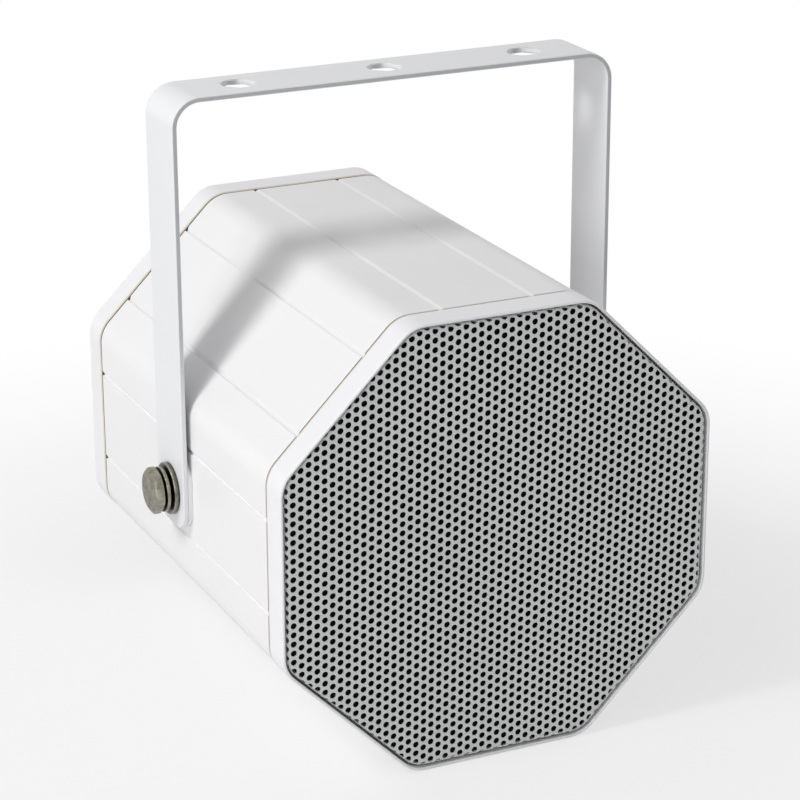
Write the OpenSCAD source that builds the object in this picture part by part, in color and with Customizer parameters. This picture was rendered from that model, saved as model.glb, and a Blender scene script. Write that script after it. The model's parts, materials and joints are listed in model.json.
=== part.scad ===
// Bidirectional loudspeaker: an octagonal extruded body with a driver at each
// end, hung in a U bracket. X is the bracket's pivot axis, Y is the axis of the
// two drivers, Z is up. The origin is under the middle, on the resting surface.

/* [Body] */
// Width of the octagonal body across flats
body_flats = 172; // [160:1:200]
// Length of the extruded body between its end gaskets
body_len = 171.5; // [160:0.5:220]
// Wall of the extrusion
body_wall = 3; // [2.6:0.1:4]
// Outer radius of the body's eight corners
body_corner_r = 13; // [8:0.5:16]
// Width of the V grooves along each face
groove_w = 2.4; // [1:0.1:4]
// Depth of the V grooves
groove_d = 1; // [0.5:0.1:1.5]
// Distance between the two grooves of a face
groove_span = 36; // [30:1:44]
// Width of each rail that holds the chassis plate
rail_w = 2; // [1.5:0.1:3]
// Reach of each rail's lip over the chassis plate
rail_lip = 2; // [1:0.1:3]

/* [End rings] */
// Depth of an end ring along the driver axis
ring_depth = 12.6; // [11:0.1:16]
// How far the ring stands proud of the body's faces
ring_proud = 0.2; // [0:0.1:1]
// Rounding of the ring's front edge
ring_edge_r = 0.8; // [0.4:0.1:1]
// Wall of the ring at its mouth
ring_wall = 1.1; // [1.1:0.1:2.4]
// Wall of the ring round the baffle
ring_skirt = 2.4; // [2:0.1:2.8]
// Thickness of the ring's inner flange
ring_flange_t = 2; // [1.5:0.1:3]
// Width of the ring's inner flange at the middle of a face
ring_flange_w = 9.1; // [8:0.1:11]
// Thickness of the gasket between body and ring
seal_t = 0.7; // [0.5:0.1:1.5]
// Radius of the ring screws' shanks
ring_screw_r = 2; // [1.5:0.1:2.2]
// Length of the ring screws' shanks
ring_screw_len = 20; // [14:1:30]
// Radius of the ring screws' heads
ring_screw_head_r = 3.8; // [3:0.1:4.2]
// Height of the ring screws' heads
ring_screw_head_h = 2.4; // [1.5:0.1:3]
// Gap between a ring screw's head and the grille's fold
ring_screw_gap = 2; // [0.5:0.1:4]

/* [Grille] */
// Thickness of the perforated sheet
grille_t = 1; // [0.8:0.1:1.5]
// Gap between the grille and the ring's mouth
grille_gap = 0.8; // [0.5:0.1:1.2]
// How far the grille sits behind the ring's front edge
grille_sink = 0.3; // [0:0.1:1]
// Diameter of the grille's holes
hole_d = 6; // [2:0.1:7]
// Distance between the centres of neighbouring holes
hole_pitch = 10.5; // [9:0.1:16]
// Plain margin between the holes and the folded edge
grille_margin = 1.2; // [0.5:0.1:4]
// Thickness of the cloth behind the grille
cloth_t = 0.5; // [0.2:0.1:1]

/* [Driver] */
// Thickness of the baffle
baffle_t = 3; // [2:0.1:4]
// Gap between the basket's flange and the ring's opening
basket_gap = 3; // [1:0.1:5]
// Width of the basket's flange
basket_flange_w = 9.4; // [8.5:0.1:12]
// Sheet thickness of the basket
basket_t = 1.2; // [0.8:0.1:1.6]
// Depth of the shelf that carries the spider
shelf_depth = 28; // [27:0.5:32]
// Outer radius of that shelf
shelf_r = 42; // [40:0.5:45]
// Radius of the basket's rear cup
cup_r = 33; // [32:0.5:35]
// Depth of the basket's rear cup
cup_depth = 10; // [8:0.5:12]
// Number of windows round the basket
window_count = 6; // [4:1:8]
// Width of the basket's windows
window_w = 30; // [20:1:34]
// Margin between a basket screw's head and the flange's edge
basket_screw_edge = 1; // [0.5:0.1:1.5]
// Radius of the basket screws' shanks
basket_screw_r = 1.5; // [1.2:0.1:1.8]
// Radius of the basket screws' heads
basket_screw_head_r = 2.8; // [2.2:0.1:3]
// Width of the surround's roll
surround_w = 7.1; // [5:0.1:8]
// Radius of the cone's neck
neck_r = 13.4; // [13:0.1:15]
// Thickness of the cone
cone_t = 0.8; // [0.5:0.1:1]
// Radius of the dust cap
cap_r = 17; // [16:0.5:24]
// Height of the dust cap
cap_h = 6; // [4:0.5:9]
// Thickness of the surround
surround_t = 0.6; // [0.4:0.1:0.8]
// Thickness of the corrugated spider
spider_t = 0.5; // [0.3:0.1:0.8]
// Number of ripples in the spider
ripple_count = 4; // [3:1:6]
// Half the height of the spider's ripples
ripple_h = 0.8; // [0.4:0.1:1]
// Wall of the voice coil's former
former_t = 0.4; // [0.3:0.1:0.5]
// Thickness of the coil winding
coil_t = 0.6; // [0.3:0.1:0.8]
// Height of the coil winding
coil_h = 8; // [5:0.5:10]
// Thickness of the magnet's top plate
top_plate_t = 4; // [3:0.5:6]
// Thickness of the magnet ring
magnet_t = 14; // [12:0.5:16]
// Radius of the magnet ring
magnet_r = 38; // [36:0.5:42]
// Thickness of the rear yoke disc
yoke_t = 4; // [3:0.5:6]
// Travel of the cone each way
cone_travel = 1.5; // [0.5:0.1:3]
// Room left behind the cone's neck at the end of its travel
neck_room = 1.4; // [1.2:0.1:4]

/* [Bracket] */
// Width of the bracket's strap
strap_w = 27; // [20:0.5:30]
// Thickness of the bracket's strap
strap_t = 2; // [1.5:0.1:4]
// Height of the bracket's top above the pivot
bracket_h = 152.8; // [147:0.1:180]
// Inner radius of the bracket's two bends
bend_r = 9; // [4:0.5:16]
// Diameter of the three holes in the bracket's top
mount_hole_d = 12.5; // [6:0.1:16]
// Distance between neighbouring holes in the bracket's top
mount_pitch = 58.5; // [40:0.5:62]
// Length of the bracket's legs below the pivot
leg_end = 14; // [12:0.5:20]
// Radius of the corners at the legs' ends
leg_corner_r = 8; // [3:0.5:10]

/* [Pivot hardware] */
// Thickness of the spacer between body and bracket
spacer_t = 1.7; // [1:0.1:4]
// Radius of the pivot bolts' shanks
bolt_r = 5; // [4:0.1:6]
// Width of the bolt heads across flats
bolt_flats = 17; // [16:0.5:18]
// Height of the bolt heads
bolt_head_h = 4.5; // [3.5:0.1:7]
// Length of the bolts' shanks
bolt_len = 22; // [20:0.5:28]
// Outer radius of the flat washers
washer_r = 10; // [9.5:0.1:13]
// Thickness of the flat washers
washer_t = 2; // [1:0.1:3]
// Outer radius of the split spring washers
spring_r = 9.2; // [8.5:0.1:10]
// Thickness of the spring washers
spring_t = 2.4; // [1.5:0.1:3]
// Gap in each split spring washer
spring_gap = 1.6; // [1:0.1:3]
// Thickness of the threaded plates inside the body
nut_plate_t = 5; // [4:0.5:8]
// Side of the threaded plates
nut_plate_side = 32; // [26:1:36]

/* [Electrical] */
// Thickness of the chassis plate
plate_t = 2; // [1.5:0.1:3]
// Width of the chassis plate
plate_w = 54; // [52:1:56]
// Length of the chassis plate
plate_len = 104; // [100:1:110]
// Width of the transformer's core
core_w = 48; // [42:1:50]
// Gap between the transformer and the magnets above it
core_gap = 5.9; // [2:0.1:12]
// Thickness of the core's stack of sheets
core_stack = 20; // [14:1:24]
// Width of the core's middle leg
core_leg = 16; // [12:1:18]
// Thickness of the transformer's clamp
clamp_t = 1; // [0.8:0.1:1.5]
// Overhang of the winding beyond the core's stack
winding_over = 8; // [4:0.5:10]
// Number of poles in the terminal block
pole_count = 4; // [2:1:5]
// Distance between the poles
pole_pitch = 9; // [8:0.5:10]
// Depth of the terminal block
block_d = 16; // [14:1:20]
// Height of the terminal block
block_h = 13; // [11:1:18]
// Radius of the chassis screws' shanks
chassis_screw_r = 1.5; // [1:0.1:2]

/* [Cable gland] */
// Radius of the gland's thread through the body
gland_r = 8; // [6:0.1:9]
// Width of the gland's flats
gland_flats = 20; // [18:0.5:22]
// Height of the gland's fixed hexagon
gland_hex_h = 5; // [3:0.5:8]
// Height of the gland's domed nut
gland_nut_h = 12; // [10:0.5:14]
// Radius of the cable hole in the gland's seal
cable_r = 3.2; // [2:0.1:4]
// Thickness of the locknut inside the body
locknut_t = 4; // [3:0.5:6]

/* [Hidden] */

// Overshoot of a cutter past the face that it cuts
cut = 1;
// Running clearance of a pin or screw in its hole
play = 0.1;
// Clearance between a part and the recess that it drops into
fit = 0.2;
// Gap kept between moving and fixed pieces of a driver
air = 0.3;
// Thickness of the paint-thin overlap that joins two shapes of one piece
weld = 0.02;

// Angle between neighbouring faces of the octagon
face_angle = 45;

half_flats = body_flats / 2;
half_len = body_len / 2;
inner_flats = half_flats - body_wall;
inner_corner_r = body_corner_r - body_wall;

ring_flats = half_flats + ring_proud;
ring_corner_r = body_corner_r + ring_proud;
pivot_z = ring_flats;
ring_start = half_len + seal_t;
flange_start = ring_start + baffle_t;
flange_end = flange_start + ring_flange_t;
ring_end = ring_start + ring_depth;
mouth_flats = ring_flats - ring_wall;
mouth_corner_r = ring_corner_r - ring_wall;
skirt_flats = ring_flats - ring_skirt;
skirt_corner_r = ring_corner_r - ring_skirt;

grille_flats = mouth_flats - grille_gap;
grille_corner_r = mouth_corner_r - grille_gap;
grille_front = ring_end - grille_sink;
grille_back = grille_front - grille_t;

ring_open_r = mouth_flats - ring_flange_w;
ring_screw_pos = corner_reach(grille_flats - grille_t, grille_corner_r - grille_t)
    - ring_screw_head_r - ring_screw_gap;
channel_wall = 2.2;
channel_r = ring_screw_r + channel_wall;
screw_corners = [1, 2, 5, 6];

basket_flange_r = ring_open_r - basket_gap;
basket_mouth_r = basket_flange_r - basket_flange_w;
basket_screw_pos = basket_flange_r - basket_screw_edge - basket_screw_head_r;
basket_head_h = 1.8;
basket_screw_over = 2;
window_margin = 5.3;
surround_in = basket_mouth_r - surround_w;
surround_roll = surround_w / 2;
cone_r = surround_in - air;
cone_depth = shelf_depth + basket_t - spider_t - ripple_h - cone_travel - neck_room;
slope = cone_depth / (cone_r - neck_r);
cone_wall = cone_t * sqrt(1 + slope * slope);
basket_depth = shelf_depth + cup_depth + basket_t;
magnet_start = basket_depth + top_plate_t;
yoke_start = magnet_start + magnet_t;
former_r = neck_r - play - former_t;
coil_r = former_r + former_t + coil_t;
gap_r = coil_r + 2 * air;
pole_r = former_r - 2 * air;
magnet_bore_gap = 5;
former_end = basket_depth + (top_plate_t + coil_h) / 2;

body_side = half_flats;
strap_in = body_side + spacer_t;
strap_out = strap_in + strap_t;
washer_out = strap_out + washer_t;
spring_out = washer_out + spring_t;
bore_r = bolt_r + play;

floor_in = pivot_z - inner_flats;
plate_top = floor_in + plate_t;
core_shift = 14;
core_bar = core_leg / 2;
core_h = pivot_z - magnet_r - core_gap - clamp_t - play - plate_top;
window_len = (core_w - core_leg - 2 * core_bar) / 2;
foot_len = 9;
clamp_margin = 2;
chassis_head_r = 2.8;
chassis_head_h = 1.8;

block_shift = 38;
block_margin = 3;
block_w = pole_count * pole_pitch + block_margin;
well_wall = 3;
well_r = (pole_pitch - well_wall) / 2;
well_floor = 5.2;
entry_w = 5;
entry_h = 4.5;
entry_floor = 1.3;
entry_depth = 5;
pole_screw_h = 4.5;
pole_slot_w = 0.8;

gland_dome_h = 4.2;
gland_wall_h = gland_nut_h - gland_dome_h;
gland_dome_r = 7.2;
stem_step = 0.6;
stem_wall = 2;
stem_room = 0.6;
seal_lip = 0.8;
seal_floor = 1.5;
thread_over = 2;
locknut_over = 2;
stem_r = gland_r - stem_step;
stem_top = gland_hex_h + gland_wall_h - stem_room;
seal_r = stem_r - stem_wall;
seal_start = gland_hex_h + seal_floor;
thread_len = body_wall + locknut_t + thread_over;

// Corner points of an octagon with rounded corners
function octagon_points(flats, r, steps = 6) =
    let (reach = (flats - r) / cos(face_angle / 2))
    [for (k = [0:7]) for (i = [0:steps])
        let (mid = face_angle * (k + 0.5), a = face_angle * (k + i / steps))
        [reach * cos(mid) + r * cos(a), reach * sin(mid) + r * sin(a)]];

// Distance from the middle of an octagon to the tip of its rounded corners
function corner_reach(flats, r) = (flats - r) / cos(face_angle / 2) + r;

module octagon(flats, r) {
    polygon(octagon_points(flats, r));
}

// Places a piece on the driver axis, with local Z pointing out of that end
module at_end(front) {
    translate([0, 0, pivot_z])
        rotate([0, 0, front ? 0 : 180])
            rotate([90, 0, 0])
                children();
}

// Places a piece on the front face of a baffle, with local Z pointing inwards
module at_driver(front) {
    at_end(front)
        translate([0, 0, flange_start])
            mirror([0, 0, 1])
                children();
}

// Places a piece on the pivot axis, with local Z pointing out of that side
module at_side(left) {
    translate([0, 0, pivot_z])
        rotate([0, left ? -90 : 90, 0])
            rotate([0, 0, 90])
                children();
}

// Places a piece at each corner of the octagon that takes a ring screw
module at_screw_corners(distance) {
    for (k = screw_corners)
        rotate(face_angle * (k + 0.5))
            translate([distance, 0])
                children();
}

// Flat-topped screw with its head's underside at Z = 0
module pan_screw(shank_r, shank_len, head_r, head_h) {
    crown_h = head_h * 0.4;
    slot_w = head_h * 0.3;
    slot_len = head_r * 1.2;
    translate([0, 0, -shank_len])
        cylinder(r = shank_r, h = shank_len + weld, $fn = 24);
    difference() {
        union() {
            cylinder(r = head_r, h = head_h - crown_h, $fn = 32);
            translate([0, 0, head_h - crown_h])
                cylinder(r1 = head_r, r2 = head_r * 0.7, h = crown_h, $fn = 32);
        }
        for (a = [0, 90])
            rotate(a)
                translate([-slot_len / 2, -slot_w / 2, crown_h])
                    cube([slot_len, slot_w, head_h]);
    }
}

module groove() {
    polygon([[cut, -groove_w / 2 * (1 + cut / groove_d)], [-groove_d, 0],
        [cut, groove_w / 2 * (1 + cut / groove_d)]]);
}

// One of the two rails that hold the chassis plate
module rail() {
    lip_gap = plate_t + air;
    lip_t = 2;
    translate([plate_w / 2 + fit, -inner_flats - weld])
        square([rail_w, lip_gap + lip_t + weld]);
    translate([plate_w / 2 + fit - rail_lip, -inner_flats + lip_gap])
        square([rail_lip + rail_w, lip_t]);
}

module body_section() {
    channel_reach = corner_reach(inner_flats, inner_corner_r) + weld;
    difference() {
        union() {
            difference() {
                octagon(half_flats, body_corner_r);
                octagon(inner_flats, inner_corner_r);
            }
            at_screw_corners(ring_screw_pos)
                circle(r = channel_r, $fn = 32);
            at_screw_corners(ring_screw_pos)
                translate([0, -channel_wall])
                    square([channel_reach - ring_screw_pos, 2 * channel_wall]);
            rail();
            mirror([1, 0])
                rail();
        }
        at_screw_corners(ring_screw_pos)
            circle(r = ring_screw_r, $fn = 24);
        for (k = [0:7], side = [-1, 1])
            rotate(face_angle * k)
                translate([half_flats, side * groove_span / 2])
                    groove();
    }
}

// Frame on the lower right face, with local Z pointing out of the body
module at_gland() {
    translate([0, 0, pivot_z])
        rotate([0, 3 * face_angle, 0])
            translate([0, 0, half_flats])
                children();
}

module body_shell() {
    color("#ecebe9")
    difference() {
        at_end(true)
            translate([0, 0, -half_len])
                linear_extrude(body_len)
                    body_section();
        for (left = [true, false])
            at_side(left)
                translate([0, 0, inner_flats - cut])
                    cylinder(r = bore_r, h = body_wall + 2 * cut, $fn = 48);
        at_gland()
            translate([0, 0, -body_wall - cut])
                cylinder(r = gland_r + play, h = body_wall + 2 * cut, $fn = 48);
    }
}

// Rounded front edge of the ring, lofted through shrinking octagons
module ring_edge() {
    steps = 5;
    outlines = [for (i = [0:steps])
        let (a = 90 * i / steps, inset = ring_edge_r * (1 - cos(a)))
        [for (p = octagon_points(ring_flats - inset, ring_corner_r - inset))
            [p[0], p[1], ring_edge_r * sin(a)]]];
    n = len(outlines[0]);
    points = [for (outline = outlines) for (p = outline) p];
    base = [for (j = [0:n - 1]) j];
    top = [for (j = [n - 1:-1:0]) steps * n + j];
    sides = [for (i = [0:steps - 1]) for (j = [0:n - 1])
        [i * n + j, (i + 1) * n + j, (i + 1) * n + (j + 1) % n, i * n + (j + 1) % n]];
    polyhedron(points, concat([base], sides, [top]));
}

module ring_screw_holes(start, length) {
    translate([0, 0, start])
        linear_extrude(length)
            at_screw_corners(ring_screw_pos)
                circle(r = ring_screw_r + play, $fn = 24);
}

module end_ring(front) {
    color("#f0eff0")
    at_end(front)
    difference() {
        union() {
            translate([0, 0, ring_start])
                linear_extrude(ring_depth - ring_edge_r)
                    octagon(ring_flats, ring_corner_r);
            translate([0, 0, ring_end - ring_edge_r])
                ring_edge();
        }
        translate([0, 0, ring_start - cut])
            linear_extrude(baffle_t + cut)
                octagon(skirt_flats, skirt_corner_r);
        cylinder(r = ring_open_r, h = ring_end + cut, $fn = 96);
        translate([0, 0, flange_end])
            linear_extrude(ring_end - flange_end + cut)
                octagon(mouth_flats, mouth_corner_r);
        ring_screw_holes(flange_start - cut, ring_flange_t + 2 * cut);
    }
}

module end_seal(front) {
    color("#d8cfa6")
    at_end(front)
    translate([0, 0, half_len])
        linear_extrude(seal_t)
            difference() {
                octagon(half_flats, body_corner_r);
                circle(r = ring_open_r, $fn = 96);
                at_screw_corners(ring_screw_pos)
                    circle(r = ring_screw_r + play, $fn = 24);
            }
}

module baffle(front) {
    color("#2b2c2e")
    at_end(front)
    translate([0, 0, ring_start])
        linear_extrude(baffle_t)
            difference() {
                octagon(skirt_flats - fit, skirt_corner_r - fit);
                circle(r = basket_mouth_r + basket_t + 2 * air, $fn = 96);
                at_screw_corners(ring_screw_pos)
                    circle(r = ring_screw_r + play, $fn = 24);
                at_basket_screws()
                    circle(r = basket_screw_r + play, $fn = 24);
            }
}

module at_basket_screws() {
    for (k = [0:3])
        rotate(90 * k)
            translate([basket_screw_pos, 0])
                children();
}

// Round holes in staggered columns, kept inside the folded edge
module grille_holes(reach) {
    column = hole_pitch * cos(30);
    columns = floor(reach / column);
    rows = floor(reach / hole_pitch);
    room = reach - hole_d / 2;
    for (i = [-columns:columns], j = [-rows - 1:rows]) {
        x = i * column;
        y = (j + (i % 2 == 0 ? 0 : 0.5)) * hole_pitch;
        corner = (abs(x) + abs(y)) / sqrt(2);
        if (max(abs(x), abs(y), corner) <= room)
            translate([x, y])
                circle(d = hole_d, $fn = 16);
    }
}

module grille(front) {
    color("#b4b6b6")
    at_end(front) {
        translate([0, 0, flange_end])
            linear_extrude(grille_back - flange_end)
                difference() {
                    octagon(grille_flats, grille_corner_r);
                    octagon(grille_flats - grille_t, grille_corner_r - grille_t);
                }
        translate([0, 0, grille_back])
            linear_extrude(grille_t)
                difference() {
                    octagon(grille_flats, grille_corner_r);
                    grille_holes(grille_flats - grille_t - grille_margin);
                }
    }
}

module grille_cloth(front) {
    color("#121213")
    at_end(front)
    translate([0, 0, grille_back - cloth_t])
        linear_extrude(cloth_t)
            octagon(grille_flats - grille_t - fit, grille_corner_r - grille_t - fit);
}

module ring_screws(front) {
    color("#b9bbbd")
    at_end(front)
    translate([0, 0, flange_end])
        at_screw_corners(ring_screw_pos)
            pan_screw(ring_screw_r - play / 2, ring_screw_len, ring_screw_head_r,
                ring_screw_head_h);
}

module basket(front) {
    lean = (basket_mouth_r - shelf_r) / (shelf_depth + basket_t);
    wall = basket_t * sqrt(1 + lean * lean);
    color("#33363a")
    at_driver(front)
    difference() {
        rotate_extrude($fn = 96)
            polygon([[basket_flange_r, -basket_t], [basket_mouth_r, -basket_t],
                [shelf_r, shelf_depth], [cup_r, shelf_depth],
                [cup_r, shelf_depth + cup_depth], [gap_r, shelf_depth + cup_depth],
                [gap_r, basket_depth], [cup_r + basket_t, basket_depth],
                [cup_r + basket_t, shelf_depth + basket_t],
                [shelf_r + wall - lean * basket_t, shelf_depth + basket_t],
                [basket_mouth_r + wall - lean * basket_t, 0], [basket_flange_r, 0]]);
        for (k = [0:window_count - 1])
            rotate(360 * k / window_count + 180 / window_count)
                translate([cup_r, -window_w / 2, window_margin])
                    cube([basket_flange_r - cup_r, window_w,
                        shelf_depth - 2 * window_margin]);
        translate([0, 0, -basket_t - cut])
            linear_extrude(basket_t + 2 * cut)
                at_basket_screws()
                    circle(r = basket_screw_r + play, $fn = 24);
    }
}

module basket_screws(front) {
    color("#b9bbbd")
    at_driver(front)
    translate([0, 0, -basket_t])
        at_basket_screws()
            mirror([0, 0, 1])
                pan_screw(basket_screw_r, basket_t + baffle_t + basket_screw_over,
                    basket_screw_head_r, basket_head_h);
}

module surround(front) {
    lip_r = basket_screw_pos - basket_screw_head_r - air;
    middle = (basket_mouth_r + surround_in) / 2;
    color("#1d1d1f")
    at_driver(front)
    translate([0, 0, -basket_t])
        rotate_extrude($fn = 96)
            union() {
                difference() {
                    translate([middle, 0])
                        circle(r = surround_roll, $fn = 48);
                    translate([middle, 0])
                        circle(r = surround_roll - surround_t, $fn = 48);
                    square([basket_flange_r, surround_roll + cut]);
                }
                translate([basket_mouth_r - surround_t, -surround_t])
                    square([lip_r - basket_mouth_r + surround_t, surround_t]);
            }
}

// Depth of the cone's front surface at a radius, below the flange's front face
function cone_front(r) = -basket_t + (cone_r - r) * slope;

module cone(front) {
    color("#26272a")
    at_driver(front)
    rotate_extrude($fn = 96)
        polygon([[cone_r, cone_front(cone_r)], [neck_r, cone_front(neck_r)],
            [neck_r, cone_front(neck_r) + cone_wall],
            [cone_r, cone_front(cone_r) + cone_wall]]);
}

module dust_cap(front) {
    arc_r = (cap_r * cap_r + cap_h * cap_h) / (2 * cap_h);
    seat = cone_front(cap_r);
    color("#202123")
    at_driver(front)
    translate([0, 0, seat - cap_h + arc_r])
        rotate_extrude($fn = 96)
            difference() {
                circle(r = arc_r, $fn = 96);
                circle(r = arc_r - cone_t, $fn = 96);
                translate([-2 * arc_r, -2 * arc_r])
                    square([2 * arc_r, 4 * arc_r]);
                translate([-arc_r, cap_h - arc_r])
                    square([3 * arc_r, 3 * arc_r]);
            }
}

module voice_coil(front) {
    color("#b8743a")
    at_driver(front)
    union() {
        difference() {
            translate([0, 0, cone_front(neck_r)])
                cylinder(r = former_r + former_t, h = former_end - cone_front(neck_r),
                    $fn = 64);
            translate([0, 0, cone_front(neck_r) - cut])
                cylinder(r = former_r, h = former_end, $fn = 64);
        }
        translate([0, 0, former_end - coil_h])
            difference() {
                cylinder(r = coil_r, h = coil_h, $fn = 64);
                translate([0, 0, -cut])
                    cylinder(r = former_r + weld, h = coil_h + 2 * cut, $fn = 64);
            }
    }
}

module spider(front) {
    hub_r = neck_r + air;
    hub_lip = 2;
    ripple_steps = 8;
    first = hub_r + hub_lip;
    steps = ripple_steps * ripple_count;
    wave = [for (i = [0:steps])
        [first + (cup_r - first) * i / steps, ripple_h * sin(360 * i / ripple_steps)]];
    path = concat([[hub_r, 0]], wave, [[shelf_r - fit, 0]]);
    color("#c9a25c")
    at_driver(front)
    translate([0, 0, shelf_depth - spider_t])
        rotate_extrude($fn = 96)
            polygon(concat(path, [for (i = [len(path) - 1:-1:0])
                [path[i][0], path[i][1] + spider_t]]));
}

module top_plate(front) {
    color("#8d9094")
    at_driver(front)
    translate([0, 0, basket_depth])
        difference() {
            cylinder(r = cup_r + basket_t, h = top_plate_t, $fn = 96);
            translate([0, 0, -cut])
                cylinder(r = gap_r, h = top_plate_t + 2 * cut, $fn = 64);
        }
}

module magnet(front) {
    color("#3a3b3d")
    at_driver(front)
    translate([0, 0, magnet_start])
        difference() {
            cylinder(r = magnet_r, h = magnet_t, $fn = 96);
            translate([0, 0, -cut])
                cylinder(r = gap_r + magnet_bore_gap, h = magnet_t + 2 * cut, $fn = 64);
        }
}

module yoke(front) {
    color("#8d9094")
    at_driver(front)
    union() {
        translate([0, 0, yoke_start])
            cylinder(r = cup_r + basket_t, h = yoke_t, $fn = 96);
        translate([0, 0, basket_depth])
            cylinder(r = pole_r, h = yoke_start - basket_depth + weld, $fn = 64);
    }
}

// Outline of the bent strap seen along the driver axis
module strap_outline(half, top, r) {
    translate([-half, -strap_w])
        square([2 * half, top - r + strap_w]);
    translate([-half + r, top - r])
        square([2 * (half - r), r]);
    for (side = [-1, 1])
        translate([side * (half - r), top - r])
            circle(r = r, $fn = 64);
}

// Outline of a leg seen along the pivot axis, with rounded lower corners
module leg_outline(top) {
    inset = strap_w / 2 - leg_corner_r;
    translate([-strap_w / 2, leg_corner_r - leg_end])
        square([strap_w, top + leg_end - leg_corner_r]);
    translate([-inset, -leg_end])
        square([2 * inset, leg_corner_r + cut]);
    for (side = [-1, 1])
        translate([side * inset, leg_corner_r - leg_end])
            circle(r = leg_corner_r, $fn = 64);
}

module bracket() {
    color("#eeeef0")
    translate([0, 0, pivot_z])
    difference() {
        intersection() {
            rotate([90, 0, 0])
                linear_extrude(strap_w, center = true)
                    difference() {
                        strap_outline(strap_out, bracket_h, bend_r + strap_t);
                        strap_outline(strap_in, bracket_h - strap_t, bend_r);
                    }
            rotate([90, 0, 90])
                linear_extrude(2 * strap_out + 2 * cut, center = true)
                    leg_outline(bracket_h + cut);
        }
        for (left = [true, false])
            translate([0, 0, -pivot_z])
                at_side(left)
                    translate([0, 0, strap_in - cut])
                        cylinder(r = bore_r, h = strap_t + 2 * cut, $fn = 48);
        for (i = [-1:1])
            translate([i * mount_pitch, 0, bracket_h - strap_t - cut])
                cylinder(d = mount_hole_d, h = strap_t + 2 * cut, $fn = 48);
    }
}

// Hexagonal bolt with chamfered head, pointing inwards from the side
module pivot_bolt(left) {
    chamfer = bolt_flats * 0.1;
    face_r = bolt_flats * 0.46;
    tip = 1;
    color("#8f8d80")
    at_side(left)
    translate([0, 0, spring_out]) {
        translate([0, 0, -bolt_len + tip])
            cylinder(r = bolt_r, h = bolt_len - tip + weld, $fn = 48);
        translate([0, 0, -bolt_len])
            cylinder(r1 = bolt_r - tip, r2 = bolt_r, h = tip, $fn = 48);
        intersection() {
            cylinder(r = bolt_flats / 2 / cos(30), h = bolt_head_h, $fn = 6);
            union() {
                cylinder(r = bolt_flats, h = bolt_head_h - chamfer, $fn = 64);
                translate([0, 0, bolt_head_h - chamfer])
                    cylinder(r1 = bolt_flats / 2 + 2 * chamfer, r2 = face_r, h = chamfer,
                        $fn = 64);
            }
        }
    }
}

// Ring-shaped piece on the pivot axis between two distances from the middle
module pivot_ring(left, inner, outer, r) {
    at_side(left)
    translate([0, 0, inner])
        difference() {
            cylinder(r = r, h = outer - inner, $fn = 64);
            translate([0, 0, -cut])
                cylinder(r = bore_r, h = outer - inner + 2 * cut, $fn = 48);
        }
}

module spring_washer(left) {
    split_angle = 20;
    color("#6f6e66")
    difference() {
        pivot_ring(left, washer_out, spring_out, spring_r);
        at_side(left)
            translate([0, 0, (washer_out + spring_out) / 2])
                rotate([split_angle, 0, 0])
                    translate([0, -spring_gap / 2, -spring_t])
                        cube([spring_r, spring_gap, 2 * spring_t]);
    }
}

module washer(left) {
    color("#a3a299")
    pivot_ring(left, strap_out, washer_out, washer_r);
}

// Pad with the outline of the leg's end, mirrored above the pivot
module spacer(left) {
    color("#eeeef0")
    at_side(left)
    translate([0, 0, body_side])
        difference() {
            linear_extrude(spacer_t)
                intersection() {
                    leg_outline(leg_end);
                    mirror([0, 1])
                        leg_outline(leg_end);
                }
            translate([0, 0, -cut])
                cylinder(r = bore_r, h = spacer_t + 2 * cut, $fn = 48);
        }
}

module nut_plate(left) {
    color("#9a9c9e")
    at_side(left)
    translate([0, 0, inner_flats - nut_plate_t])
        difference() {
            translate([-nut_plate_side / 2, -nut_plate_side / 2, 0])
                cube([nut_plate_side, nut_plate_side, nut_plate_t]);
            translate([0, 0, -cut])
                cylinder(r = bore_r, h = nut_plate_t + 2 * cut, $fn = 48);
        }
}

module at_chassis_screws() {
    reach = (core_w + foot_len) / 2 + clamp_t;
    for (side = [-1, 1])
        translate([0, side * reach - core_shift, plate_top])
            children();
}

module chassis_plate() {
    color("#aeb0b2")
    difference() {
        translate([-plate_w / 2, -plate_len / 2, floor_in])
            cube([plate_w, plate_len, plate_t]);
        at_chassis_screws()
            translate([0, 0, -plate_t - cut])
                cylinder(r = chassis_screw_r + play, h = plate_t + 2 * cut, $fn = 24);
    }
}

// Stack of E and I sheets seen from the side, with its two windows
module transformer_core() {
    color("#5c5f63")
    translate([0, -core_shift, plate_top])
        rotate([90, 0, 90])
            linear_extrude(core_stack, center = true)
                difference() {
                    translate([-core_w / 2, 0])
                        square([core_w, core_h]);
                    for (side = [-1, 1])
                        translate([side * (core_leg + window_len) / 2, core_h / 2])
                            square([window_len, core_h - 2 * core_bar], center = true);
                }
}

module transformer_winding() {
    half_y = core_leg / 2 + window_len - fit;
    height = core_h - 2 * core_bar - 2 * fit;
    color("#b98a3c")
    translate([0, -core_shift, plate_top + core_bar + fit])
        linear_extrude(height)
            difference() {
                square([core_stack + 2 * winding_over, 2 * half_y], center = true);
                square([core_stack + 2 * fit, core_leg + 2 * fit], center = true);
            }
}

module transformer_clamp() {
    inner = core_w / 2 + play;
    outer = inner + clamp_t;
    color("#c3c5c7")
    difference() {
        translate([0, -core_shift, plate_top])
            rotate([90, 0, 90])
                linear_extrude(core_stack - 2 * clamp_margin, center = true)
                    difference() {
                        union() {
                            translate([-outer, 0])
                                square([2 * outer, core_h + play + clamp_t]);
                            translate([-outer - foot_len, 0])
                                square([2 * (outer + foot_len), clamp_t]);
                        }
                        translate([-inner, -cut])
                            square([2 * inner, core_h + play + cut]);
                    }
        at_chassis_screws()
            translate([0, 0, -cut])
                cylinder(r = chassis_screw_r + play, h = clamp_t + 2 * cut, $fn = 24);
    }
}

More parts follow.
